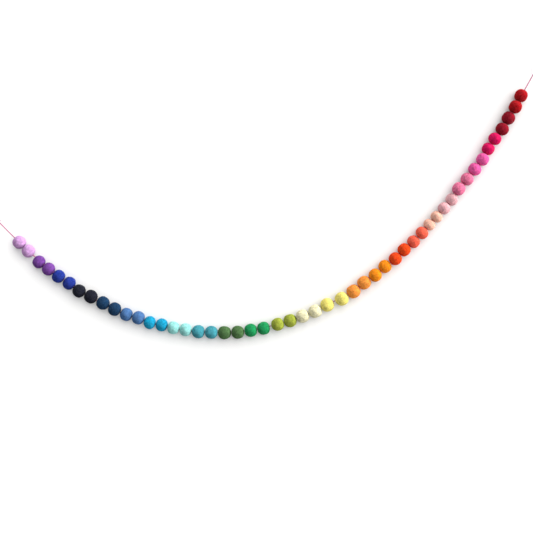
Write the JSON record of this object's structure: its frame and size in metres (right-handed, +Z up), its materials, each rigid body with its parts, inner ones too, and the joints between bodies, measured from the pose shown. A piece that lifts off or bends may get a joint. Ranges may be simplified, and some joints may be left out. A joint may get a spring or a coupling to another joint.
{
  "type": "felt ball garland",
  "caption": "Rainbow garland of hand-rolled wool felt balls strung on one pink thread, hung in a swag from a small tied loop at each end.",
  "frame": {"origin": "left-hand hanging point, the middle of the left loop's eye", "axes": "+X from the left loop towards the right loop as seen from the room, +Y into the wall behind, +Z up"},
  "size_m": [0.8732, 0.0218, 0.4421],
  "materials": {
    "thread": "twisted pink cotton thread, matt with a slight sheen",
    "felt_lilac": "rolled wool felt, pale lilac, matt and slightly fuzzy",
    "felt_violet": "rolled wool felt, violet, matt and slightly fuzzy",
    "felt_royal": "rolled wool felt, royal blue, matt and slightly fuzzy",
    "felt_ink": "rolled wool felt, near-black navy, matt and slightly fuzzy",
    "felt_petrol": "rolled wool felt, dark petrol blue, matt and slightly fuzzy",
    "felt_denim": "rolled wool felt, denim blue, matt and slightly fuzzy",
    "felt_cerulean": "rolled wool felt, cerulean blue, matt and slightly fuzzy",
    "felt_aqua": "rolled wool felt, pale aqua, matt and slightly fuzzy",
    "felt_lagoon": "rolled wool felt, greyed teal blue, matt and slightly fuzzy",
    "felt_moss": "rolled wool felt, moss green, matt and slightly fuzzy",
    "felt_emerald": "rolled wool felt, emerald green, matt and slightly fuzzy",
    "felt_lime": "rolled wool felt, lime green, matt and slightly fuzzy",
    "felt_cream": "rolled wool felt, cream, matt and slightly fuzzy",
    "felt_lemon": "rolled wool felt, pale lemon yellow, matt and slightly fuzzy",
    "felt_apricot": "rolled wool felt, light orange, matt and slightly fuzzy",
    "felt_amber": "rolled wool felt, amber orange, matt and slightly fuzzy",
    "felt_rust": "rolled wool felt, burnt orange, matt and slightly fuzzy",
    "felt_coral": "rolled wool felt, coral red, matt and slightly fuzzy",
    "felt_peach": "rolled wool felt, peach, matt and slightly fuzzy",
    "felt_mauve": "rolled wool felt, dusty mauve pink, matt and slightly fuzzy",
    "felt_rose": "rolled wool felt, rose pink, matt and slightly fuzzy",
    "felt_orchid": "rolled wool felt, orchid pink, matt and slightly fuzzy",
    "felt_fuchsia": "rolled wool felt, fuchsia, matt and slightly fuzzy",
    "felt_wine": "rolled wool felt, dark wine red, matt and slightly fuzzy",
    "felt_scarlet": "rolled wool felt, scarlet, matt and slightly fuzzy"
  },
  "bodies": {
    "root": {"thread": "thread", "ball_01_lilac": "felt_lilac", "ball_02_lilac": "felt_lilac", "ball_03_violet": "felt_violet", "ball_04_violet": "felt_violet", "ball_05_royal": "felt_royal", "ball_06_royal": "felt_royal", "ball_07_ink": "felt_ink", "ball_08_ink": "felt_ink", "ball_09_petrol": "felt_petrol", "ball_10_petrol": "felt_petrol", "ball_11_denim": "felt_denim", "ball_12_denim": "felt_denim", "ball_13_cerulean": "felt_cerulean", "ball_14_cerulean": "felt_cerulean", "ball_15_aqua": "felt_aqua", "ball_16_aqua": "felt_aqua", "ball_17_lagoon": "felt_lagoon", "ball_18_lagoon": "felt_lagoon", "ball_19_moss": "felt_moss", "ball_20_moss": "felt_moss", "ball_21_emerald": "felt_emerald", "ball_22_emerald": "felt_emerald", "ball_23_lime": "felt_lime", "ball_24_lime": "felt_lime", "ball_25_cream": "felt_cream", "ball_26_cream": "felt_cream", "ball_27_lemon": "felt_lemon", "ball_28_lemon": "felt_lemon", "ball_29_apricot": "felt_apricot", "ball_30_apricot": "felt_apricot", "ball_31_amber": "felt_amber", "ball_32_amber": "felt_amber", "ball_33_rust": "felt_rust", "ball_34_rust": "felt_rust", "ball_35_coral": "felt_coral", "ball_36_coral": "felt_coral", "ball_37_peach": "felt_peach", "ball_38_peach": "felt_peach", "ball_39_mauve": "felt_mauve", "ball_40_mauve": "felt_mauve", "ball_41_rose": "felt_rose", "ball_42_rose": "felt_rose", "ball_43_orchid": "felt_orchid", "ball_44_orchid": "felt_orchid", "ball_45_fuchsia": "felt_fuchsia", "ball_46_fuchsia": "felt_fuchsia", "ball_47_wine": "felt_wine", "ball_48_wine": "felt_wine", "ball_49_scarlet": "felt_scarlet", "ball_50_scarlet": "felt_scarlet"}
  },
  "joints": []
}
